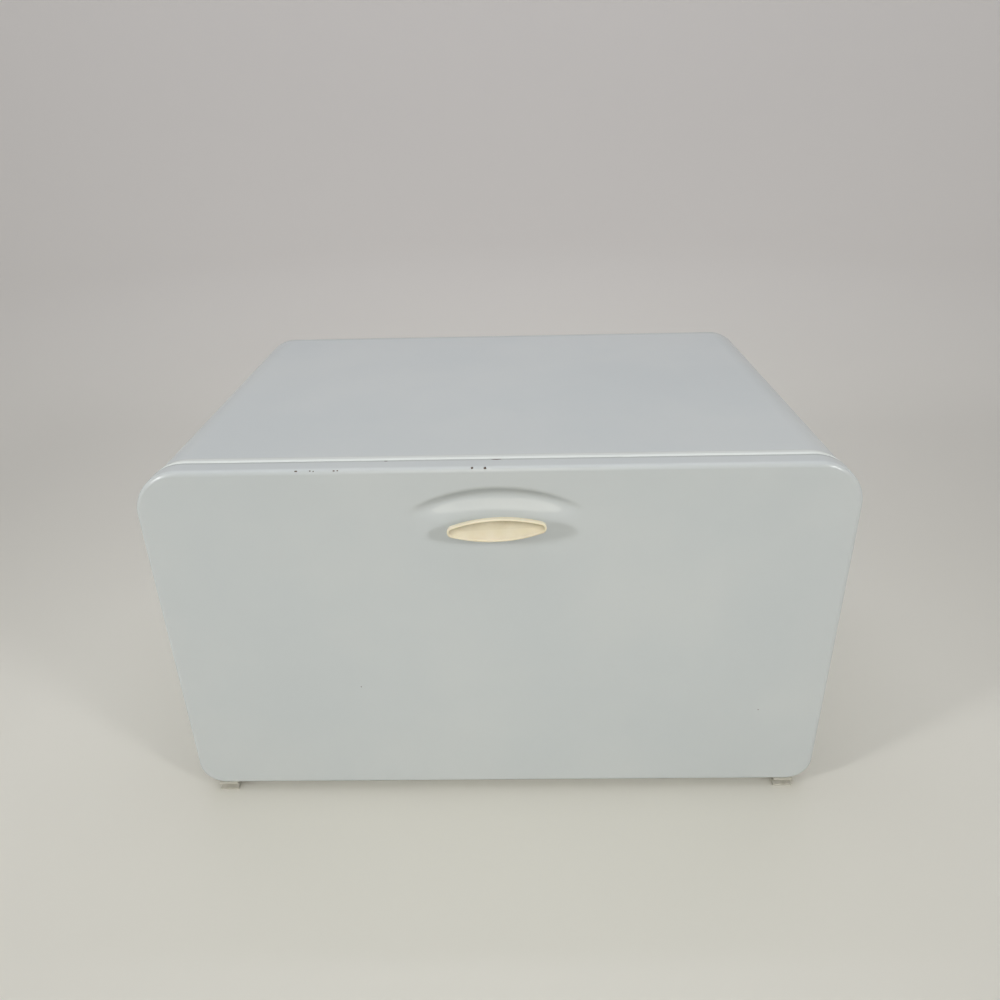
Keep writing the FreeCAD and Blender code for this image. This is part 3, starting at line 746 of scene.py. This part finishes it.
@dataclass
class DrawerFront:
    """The folded front with its pressed recess, and the chips in its enamel."""

    sheet: float = 0.8 * MM
    top_radius: float = 27 * MM
    bottom_radius: float = 16 * MM
    fold_radius: float = 3 * MM
    fold_steps: int = 8
    flange_step: float = 3 * MM
    recess_from_top: float = 11.0 * MM
    recess_margin: float = 3 * MM
    grid_step: float = 5 * MM
    recess_step: float = 1.0 * MM
    swell: float = 0.25 * MM
    swell_size: float = 150 * MM
    swell_power: int = 8
    chip_proud: float = 0.02 * MM
    chip_sunk: float = 0.05 * MM
    chip_corners: int = 14
    chip_ragged: Flat = (-0.28, 0.22)
    chip_rings: tuple[float, ...] = (1.0, 0.7, 0.4, 0.1)
    chips: tuple[Chip, ...] = tuple(
        Chip(x * MM, way * MM, length * MM, width * MM)
        for x, way, length, width in (
            (-107.8, 2.5, 1.9, 1.0),
            (-100.1, 2.5, 1.0, 0.8),
            (-98.3, 2.3, 0.8, 0.7),
            (-87.2, 2.4, 1.3, 0.8),
            (-85.2, 2.5, 1.0, 0.6),
            (-12.6, 2.9, 1.5, 1.5),
            (-5.6, 2.8, 1.5, 1.6),
            (-60.4, 12.9, 2.2, 0.9),
            (0.5, 12.9, 5.5, 0.9),
            (-86.6, -144.0, 0.9, 0.8),
            (159.8, -165.0, 0.7, 0.7),
        )
    )
    outline: Outline = field(init=False)
    recess: FingerRecess = field(init=False)
    face_y: float = field(init=False)
    rear_y: float = field(init=False)

    def __post_init__(self) -> None:
        """Takes the places from the frame."""
        low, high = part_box("drawer_front")
        top = high.z - self.chip_proud
        self.outline = Outline(high.x, low.z, top, self.top_radius, self.bottom_radius)
        self.recess = FingerRecess(high.z - self.recess_from_top)
        self.face_y, self.rear_y = low.y, high.y

    def swell_at(self, x: float, z: float) -> float:
        """How far the sheet lies behind its flat, as pressed sheet does."""
        wave = noise.noise(Vector((x, 0.0, z)) / self.swell_size)
        return self.swell * (0.5 + 0.5 * wave)

    def columns(self) -> list[float]:
        """Shares of the half width for the grid, close together over the recess.

        Returns:
            The shares from -1 to 1.
        """
        half = self.outline.half_width
        fine = self.recess.half_width + self.recess_margin + self.recess_step
        right = spaced(0, fine, self.recess_step) + spaced(fine, half, self.grid_step)[1:]
        return [-x / half for x in reversed(right[1:])] + [x / half for x in right]

    def build(self) -> bpy.types.Object:
        """Builds the front: its face, the fold round its edge and the folded edge.

        Returns:
            The front.
        """
        outline, inset = self.outline, self.fold_radius
        heights = outline.heights(inset, self.grid_step)
        low = self.recess.top - self.recess.height - self.recess_margin
        high = self.recess.top + self.recess_margin
        heights = [z for z in heights if not low < z < high] + spaced(low, high, self.recess_step)
        draft = Draft()
        rows = []
        for z in sorted(heights):
            half = outline.half_width_at(z, inset)
            row = []
            for share in self.columns():
                x = share * half
                dip = self.recess.depth_at(x, z) + self.swell_at(x, z) * self.fade(share) * self.edge_fade(z)
                row.append((x, self.face_y + dip, z))
            rows.append(draft.row(row))
        draft.bridge_all(rows)
        right, left = [row[-1] for row in rows[1:-1]], [row[0] for row in rows[-2:0:-1]]
        border = rows[0] + right + rows[-1][::-1] + left
        ring = border
        for back_inset, y in self.fold_profile()[1:]:
            points = []
            for number in border:
                point = draft.points[number]
                nx, nz = outline.normal_at(point.x, point.z)
                out = inset - back_inset
                points.append((point.x + nx * out, y, point.z + nz * out))
            new_ring = draft.row(points)
            draft.bridge(ring, new_ring, closed=True)
            ring = new_ring
        return Piece(
            "front_pan", draft, Body.DRAWER, Slot.OUTER_ENAMEL, OUTER_ENAMEL, ["drawer_front"], self.sheet
        ).build()

    def fade(self, share: float) -> float:
        """Fades the swell out towards an edge, which has a share of 1 or -1."""
        return 1 - min(1.0, abs(share)) ** self.swell_power

    def edge_fade(self, z: float) -> float:
        """Fades the swell out towards the upper and the lower edge."""
        middle = (self.outline.low + self.outline.high) / 2
        return self.fade((z - middle) / (self.outline.high - middle))

    def fold_profile(self) -> list[Flat]:
        """Lays out the fold's rings.

        Returns:
            The inset and y of each ring, from the face to the folded edge.
        """
        edge = rounded(self.fold_radius, QUARTER / self.fold_steps)
        fold = [(inset, self.face_y + back) for back, inset in edge]
        return fold + [(0.0, y) for y in spaced(fold[-1][1], self.rear_y, self.flange_step)[1:]]

    def on_upper_edge(self, x: float, way: float) -> tuple[Vector, Vector]:
        """A point on the face, the upper fold or the upper edge, and its normal.

        Args:
            x: the place across the front.
            way: how far round from where the fold starts; below 0 on the face, beyond the fold behind it.

        Returns:
            The point and the outward normal.
        """
        radius = self.fold_radius
        high = self.outline.high
        if way <= 0:
            z = high - radius + way
            dip = self.swell_at(x, z) * self.fade(x / self.outline.half_width) * self.edge_fade(z)
            return Vector((x, self.face_y + dip, z)), Vector((0, -1, 0))
        angle = min(way / radius, QUARTER)
        normal = Vector((0, -math.cos(angle), math.sin(angle)))
        centre = Vector((x, self.face_y + radius, high - radius))
        beyond = max(0.0, way - radius * QUARTER)
        return centre + normal * radius + Vector((0, beyond, 0)), normal

    def build_chips(self) -> bpy.types.Object:
        """Builds the chips as thin flakes of bare sheet let into the enamel.

        Returns:
            The chips as one piece.
        """
        draft = Draft()
        draw = random.Random(7)
        last_way = self.fold_radius * (QUARTER - 1) + self.rear_y - self.face_y
        levels = [(1.0, -self.chip_sunk)] + [(scale, self.chip_proud) for scale in self.chip_rings]
        for chip in self.chips:
            ragged = [1 + draw.uniform(*self.chip_ragged) for _ in range(self.chip_corners)]
            rings = []
            for scale, lift in levels:
                ring = []
                for i, reach in enumerate(ragged):
                    angle = 2 * math.pi * i / self.chip_corners
                    x = chip.x + chip.length / 2 * math.cos(angle) * reach * scale
                    way = min(chip.way + chip.width / 2 * math.sin(angle) * reach * scale, last_way)
                    point, normal = self.on_upper_edge(x, way)
                    ring.append(point + normal * lift)
                rings.append(draft.row(ring))
            draft.bridge_all(rings, closed=True, capped=True)
        return Piece("front_chips", draft, Body.DRAWER, Slot.OUTER_ENAMEL, RUST, weld=0.0).build()


# --- The pull ---


@dataclass
class Pull:
    """The ivory pull: an eye-shaped bar with a dished face on two posts."""

    tip_radius: float = 3.3 * MM
    lid_steps: int = 40
    tip_steps: int = 12
    edge_radius: float = 0.8 * MM
    edge_step: float = math.radians(15)
    rim_width: float = 0.2 * MM
    dish_wall: float = 0.6 * MM
    dish_slope: float = 0.35 * MM
    dish_lip: Flat = (0.14 * MM, 0.21 * MM)
    dish_depth: float = 1.7 * MM
    dish_rings: tuple[float, ...] = (0.92, 0.8, 0.65, 0.5, 0.35, 0.2, 0.0)
    back_rings: tuple[float, ...] = (0.0, 0.35, 0.7)
    flattening: float = 0.3
    thickness: float = 3.4 * MM
    post_radius: float = 3 * MM
    post_flare: float = 0.9 * MM
    post_spacing: float = 28 * MM
    post_drop: float = 2 * MM
    post_segments: int = 40
    flare_step: float = math.radians(18)
    flare_squeeze: float = 0.9
    back_grime: float = 0.1
    lip_grime: float = 0.6
    # Grime and painted shade in the dish: light in its middle, heavy towards its wall under the rim.
    dish_grime: Flat = (0.15, 0.9)
    post_grime: float = 0.2
    # Painted shade: the lower side of each ring gets this much less of the darkening than the upper side,
    # which lies in the rim's shade.
    upward_grime: float = 0.4
    askew: float = math.radians(2.4)

    def stations(self, width: float, height: float) -> list[Station]:
        """Points round the eye shape, about its middle, each with its outward normal.

        Args:
            width: how wide the eye is.
            height: how high it is.

        Returns:
            The points, over the upper lid and back under the lower one.
        """
        tip_x, rise = width / 2 - self.tip_radius, height / 2
        lid = (tip_x**2 + rise**2 - self.tip_radius**2) / (2 * (rise - self.tip_radius))
        lid_z = rise - lid
        lean = math.atan2(tip_x, -lid_z)
        around = []
        for angle in spaced(-lean, lean, 2 * lean / self.lid_steps):
            nx, nz = math.sin(angle), math.cos(angle)
            around.append((lid * nx, lid_z + lid * nz, nx, nz))
        for angle in spaced(lean, math.pi - lean, (math.pi - 2 * lean) / self.tip_steps)[1:-1]:
            nx, nz = math.sin(angle), math.cos(angle)
            around.append((tip_x + self.tip_radius * nx, self.tip_radius * nz, nx, nz))
        return around + [(-x, -z, -nx, -nz) for x, z, nx, nz in around]

    def build(self) -> bpy.types.Object:
        """Builds the bar, its dish and its posts.

        Returns:
            The moulding, with grime and painted shade marked on its points.
        """
        low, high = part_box("pull")
        front_y, rear_y = low.y, low.y + self.thickness
        middle_z = (low.z + high.z) / 2
        around = self.stations(high.x - low.x, high.z - low.z)
        cosine, sine = math.cos(self.askew), math.sin(self.askew)
        draft = Draft()
        grime: list[float] = []

        def ring(inset: float, y: float, scale: float, dirt_and_shade: float) -> list[int]:
            """Adds a ring round the eye.

            Args:
                inset: how far inside the eye's outline it runs.
                y: its place from front to rear.
                scale: how far it is flattened towards the middle line, from 1 for not at all to 0.
                dirt_and_shade: how much grime and painted shade lies on its upper side.

            Returns:
                The numbers of its points.
            """
            points = []
            for x, z, nx, nz in around:
                flat_x = (x - nx * inset) * (1 - self.flattening * (1 - scale))
                flat_z = (z - nz * inset) * scale
                turned_x = flat_x * cosine - flat_z * sine
                turned_z = flat_x * sine + flat_z * cosine
                points.append((turned_x, y, middle_z + turned_z))
                # Painted shade: the upper side gets the full darkening, the lower side less.
                grime.append(dirt_and_shade * (1 + self.upward_grime * (nz - 1)))
            return draft.row(points)

        radius, rim = self.edge_radius, self.edge_radius + self.rim_width
        floor = rim + self.dish_slope
        rings = [ring(radius, rear_y, scale, self.back_grime) for scale in self.back_rings]
        edge = rounded(radius, self.edge_step)
        rings += [ring(inset, rear_y - back, 1.0, 0.0) for back, inset in edge]
        rings += [ring(inset, front_y + back, 1.0, 0.0) for inset, back in edge]
        rings.append(ring(rim, front_y, 1.0, self.back_grime))
        across, down = self.dish_lip
        rings.append(ring(rim + across, front_y + down, 1.0, self.lip_grime))
        # The dish's wall gets the full darkening: grime and painted shade under the rim.
        rings.append(ring(floor, front_y + self.dish_wall, 1.0, 1.0))
        middle_grime_and_shade, added_grime_and_shade = self.dish_grime
        for scale in self.dish_rings:
            depth = self.dish_wall + (self.dish_depth - self.dish_wall) * (1 - scale**2)
            rings.append(ring(floor, front_y + depth, scale, added_grime_and_shade * scale**2 + middle_grime_and_shade))
        draft.bridge_all(rings, closed=True)
        for side in Side:
            place = (side.value * self.post_spacing / 2, rear_y - radius, middle_z - self.post_drop)
            self.add_post(draft, Vector(place), high.y)
        grime.extend([self.post_grime] * (len(draft.points) - len(grime)))
        made = Piece(
            "pull_moulding", draft, Body.DRAWER, Slot.IVORY_PLASTIC, IVORY_UREA, ["pull"], weld=0.0
        ).build()
        attribute = made.data.attributes.new(IVORY_UREA.grime_attribute, "FLOAT", "POINT")
        attribute.data.foreach_set("value", grime)
        return made

    def add_post(self, draft: Draft, start: Vector, rear_y: float) -> None:
        """Adds a post, which flares out where it meets the bar.

        Args:
            draft: the pull's draft.
            start: where the post starts, inside the bar.
            rear_y: where it ends.
        """
        radius, flare, root = self.post_radius, self.post_flare, self.edge_radius
        profile = [(0.0, radius + flare), (root, radius + flare)]
        for angle in spaced(0, QUARTER, self.flare_step)[1:]:
            width = flare * math.cos(angle) * self.flare_squeeze
            profile.append((root + flare * math.sin(angle), radius + width))
        profile.append((rear_y - start.y, radius))
        draft.turned(profile, start, Vector((0, 1, 0)), self.post_segments)


# --- The case ---


@dataclass
class CaseSleeve:
    """The wrapped sleeve of the case, its front edge curled round a wire."""

    outline: Outline
    sheet: float = 0.8 * MM
    step: float = 1.0 * MM
    joggle: float = 4.0 * MM
    joggle_steps: int = 8
    hem_step: float = 0.2 * MM
    hem_radius: float = 2.8 * MM
    curl_start: float = 0.55
    curl_turn: float = math.radians(318)
    curl_step: float = math.radians(12)
    # How far behind the curl the paler paint, rub and painted highlight, fades out.
    rub_fade: float = 3 * MM
    grid_step: float = 5 * MM

    def section(self) -> tuple[list[Flat], list[Flat]]:
        """Lays out the sheet in section, from the rear edge round the curl.

        Returns:
            The points of its two faces, as inset and y.
        """
        low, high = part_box("case_shell")
        middle = self.step + self.sheet / 2
        radius = self.hem_radius - self.sheet / 2
        centre = Vector((self.hem_step + self.hem_radius, low.y + self.hem_radius))
        start_angle = math.acos((centre.x - middle) / radius)
        joggle_y = centre.y + radius * math.sin(start_angle) + self.joggle
        line = [(middle, y) for y in reversed(spaced(joggle_y, high.y, self.grid_step))]
        start = Vector(line[-1])
        curl_angle = start_angle * self.curl_start
        target = centre + Vector((-math.cos(curl_angle), math.sin(curl_angle))) * radius
        for share in spaced(0, 1, 1 / self.joggle_steps)[1:-1]:
            eased = share * share * (3 - 2 * share)
            inset = start.x + (target.x - start.x) * eased
            line.append((inset, start.y + (target.y - start.y) * share))
        for angle in spaced(-curl_angle, self.curl_turn - 2 * curl_angle, self.curl_step):
            line.append((centre.x - radius * math.cos(angle), centre.y - radius * math.sin(angle)))
        return sheet_sides(line, self.sheet)

    def build(self) -> bpy.types.Object:
        """Builds the sleeve.

        Returns:
            The sleeve, with rub and painted highlight marked on its points.
        """
        draft = Draft()
        around = self.outline.stations(self.grid_step)
        left, right = self.section()
        rows = []
        for inset, y in left + right[::-1]:
            rows.append(draft.row((x - nx * inset, y, z - nz * inset) for x, z, nx, nz in around))
        draft.bridge_all(rows + rows[:1], closed=True)
        made = Piece(
            "case_sleeve", draft, Body.CASE, Slot.OUTER_ENAMEL, OUTER_ENAMEL, ["case_shell"]
        ).build()
        self.rub(made)
        return made

    def rub(self, made: bpy.types.Object) -> None:
        """Marks the curl and the step behind it to be painted paler: enamel rubbed by cloths, painted
        highlight on the curl and painted light over the step's shade.

        Args:
            made: the sleeve.
        """
        # Painted highlight: full on the curl, fading out over the step behind it.
        curl_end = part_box("case_shell")[0].y + 2 * self.hem_radius
        past = [(point.co.y - curl_end) / self.rub_fade for point in made.data.vertices]
        attribute = made.data.attributes.new(OUTER_ENAMEL.rub_attribute, "FLOAT", "POINT")
        attribute.data.foreach_set("value", [max(0.0, min(1.0, 1 - share)) for share in past])


@dataclass
class RubberFeet:
    """The four feet: turned cones with a rounded tread and a recess for their screws."""

    names: Sequence[str] = ("foot_front_left", "foot_front_right", "foot_rear_left", "foot_rear_right")
    taper: float = 1 * MM
    core_radius: float = 0.4 * MM
    recess_radius: float = 4.6 * MM
    recess_depth: float = 3.2 * MM
    recess_edge: float = 0.3 * MM
    tread_edge: float = 1.0 * MM
    tread_step: float = math.radians(15)
    top_edge: float = 0.2 * MM
    segments: int = 56

    def profile(self, height: float, top_radius: float) -> list[Flat]:
        """Lays out the section of a foot.

        Args:
            height: the foot's height.
            top_radius: its radius under the case.

        Returns:
            Distance above the table and radius, from the recess round to the top.
        """
        tread_radius, edge, top = top_radius - self.taper, self.tread_edge, self.top_edge
        section = [
            (self.recess_depth, self.core_radius),
            (self.recess_depth, self.recess_radius),
            (self.recess_edge, self.recess_radius),
            (0.0, self.recess_radius + self.recess_edge),
            (0.0, tread_radius - edge),
        ]
        section += [(up, tread_radius - back) for up, back in rounded(edge, self.tread_step)[1:]]
        section += [
            (height / 2, (tread_radius + top_radius) / 2),
            (height - 3 * top, top_radius - top / 2),
            (height - top, top_radius),
            (height, top_radius - top),
            (height, self.core_radius),
        ]
        return section

    def build(self) -> None:
        """Builds each foot."""
        for name in self.names:
            low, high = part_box(name)
            start = Vector(((low.x + high.x) / 2, (low.y + high.y) / 2, low.z))
            draft = Draft()
            profile = self.profile(high.z - low.z, (high.x - low.x) / 2)
            draft.turned(profile, start, Vector((0, 0, 1)), self.segments)
            Piece(f"{name}_rubber", draft, Body.CASE, Slot.PALE_RUBBER, PALE_RUBBER, [name]).build()


# --- Stage ---


@dataclass(frozen=True)
class SoftLight:
    """A soft light: where it stands, the point it faces, its size, its power in watts and its colour."""

    name: str
    place: tuple[float, float, float]
    size: Flat
    power: float
    colour: str = "#FFFFFF"
    aim: tuple[float, float, float] = (0.0, 0.0, 0.12)
    spread: float = math.radians(60)

    def hang(self) -> None:
        """Adds the light to the scene."""
        data = bpy.data.lights.new(self.name, "AREA")
        data.shape = "RECTANGLE"
        data.size, data.size_y = self.size
        data.energy = self.power
        data.spread = self.spread
        data.color = linear(self.colour)[:3]
        light = bpy.data.objects.new(self.name, data)
        light.location = self.place
        light.visible_camera = False
        light.rotation_mode = "QUATERNION"
        light.rotation_quaternion = (Vector(self.aim) - Vector(self.place)).to_track_quat("-Z", "Y")
        bpy.context.scene.collection.objects.link(light)


@dataclass
class Studio:
    """The pale floor, the soft lights and the camera."""

    eye: Vector = field(default_factory=lambda: Vector((11.0, -523.1, 409.6)) * MM)
    yaw: float = math.radians(-1.31)
    pitch: float = math.radians(26.46)
    roll: float = math.radians(-1.41)
    focal_pixels: float = 804.1
    picture_pixels: float = 1000.0
    sensor: float = 36.0
    floor_flat: float = 2.0
    floor_sweep: float = 1.2
    floor_top: float = 3.6
    floor_hole: float = 0.01
    floor_ring: float = 0.5
    sweep_step: float = math.radians(7.5)
    floor_segments: int = 96
    lights: tuple[SoftLight, ...] = (
        SoftLight("ceiling", (0.0, 0.1, 1.9), (1.8, 1.8), 9.4, "#F6FAFF", spread=math.pi),
        SoftLight("room", (0.0, -2.3, 0.4), (2.4, 0.6), 0.2),
        SoftLight("left", (-1.2, -0.84, 0.72), (0.2, 0.25), 0.86),
        SoftLight("right", (1.0, -0.95, 0.75), (0.22, 0.22), 0.64),
        SoftLight("lamp", (0.0, -1.3, 0.97), (0.6, 0.5), 0.42, "#FFFAEC"),
        SoftLight("wall", (0.0, 1.0, 2.4), (3.0, 0.8), 30.0, "#F0EEFF", (0.0, 3.2, 0.9), math.pi),
    )
    sky_colour: str = "#F4F3F2"
    sky_strength: float = 0.25

    def build_camera(self) -> None:
        """Sets the camera up."""
        reach = math.cos(self.pitch)
        forward = Vector((math.sin(self.yaw) * reach, math.cos(self.yaw) * reach, -math.sin(self.pitch)))
        level = Vector((math.cos(self.yaw), -math.sin(self.yaw), 0))
        above = level.cross(forward)
        right = level * math.cos(self.roll) + above * math.sin(self.roll)
        upward = above * math.cos(self.roll) - level * math.sin(self.roll)
        data = bpy.data.cameras.new("camera")
        data.sensor_width = self.sensor
        data.lens = self.sensor * self.focal_pixels / self.picture_pixels
        data.clip_start, data.clip_end = 0.01, 50.0
        camera = bpy.data.objects.new("camera", data)
        turn = Matrix((right, upward, -forward)).transposed()
        camera.matrix_world = Matrix.Translation(self.eye) @ turn.to_4x4()
        bpy.context.scene.collection.objects.link(camera)
        bpy.context.scene.camera = camera

    def build_floor(self) -> None:
        """Lays the pale floor, a disc that sweeps up all round far from the box."""
        draft = Draft()
        flat, radius = self.floor_flat, self.floor_sweep
        profile = [(0.0, max(reach, self.floor_hole)) for reach in spaced(0.0, flat, self.floor_ring)]
        profile += [(up, flat + radius - back) for up, back in rounded(radius, self.sweep_step)[1:]]
        profile.append((self.floor_top, flat + radius))
        draft.turned(profile, Vector(), Vector((0, 0, 1)), self.floor_segments)
        draft.faces.pop()
        mesh = bpy.data.meshes.new("floor")
        mesh.from_pydata(draft.points, [], draft.faces)
        mesh.shade_smooth()
        floor = bpy.data.objects.new("floor", mesh)
        bpy.context.scene.collection.objects.link(floor)
        mesh.materials.append(PAINTED_BOARD.material())

    def build_lights(self) -> None:
        """Hangs the lights and sets the even sky."""
        for light in self.lights:
            light.hang()
        world = bpy.data.worlds.new("even_sky")
        world.use_nodes = True
        sky = world.node_tree.nodes["Background"]
        sky.inputs["Color"].default_value = linear(self.sky_colour)
        sky.inputs["Strength"].default_value = self.sky_strength
        bpy.context.scene.world = world
        bpy.context.scene.view_settings.view_transform = "Standard"
        bpy.context.scene.view_settings.look = "None"

    def build(self) -> None:
        """Builds the whole stage."""
        self.build_camera()
        self.build_floor()
        self.build_lights()


# --- The whole box ---


def main() -> None:
    """Builds the stage and every sub-assembly in order."""
    logging.basicConfig(level=logging.INFO, format="%(name)s: %(message)s")
    Studio().build()
    front = DrawerFront()
    front.build()
    front.build_chips()
    Pull().build()
    CaseSleeve(front.outline).build()
    RubberFeet().build()
    CarriedNodes(["case_back"], OUTER_ENAMEL, 0.1 * MM).dress()
    CarriedNodes(["glide_left", "glide_right"], SCUFFED_ENAMEL, 0.15 * MM).dress()
    CarriedNodes(["inner_panel", "tub", "tub_back"], INNER_ENAMEL, 0.1 * MM).dress()
    CarriedNodes(["buffer_left", "buffer_right"], PALE_RUBBER, 0.3 * MM).dress()
    strips = [f"{kind}_{side.label}" for kind in ("runner", "slide", "stop", "catch") for side in Side]
    CarriedNodes(strips, ROLLED_STRIP, 0.1 * MM).dress()
    fasteners = ["front_rivets", "back_rivets", "slide_rivets", "glide_rivets", "foot_screws", "foot_nuts"]
    fasteners += ["pull_screws", "pull_washers", "rim_wire"]
    CarriedNodes(fasteners, BRIGHT_ZINC, 0.0).dress()


if __name__ == "__main__":
    main()
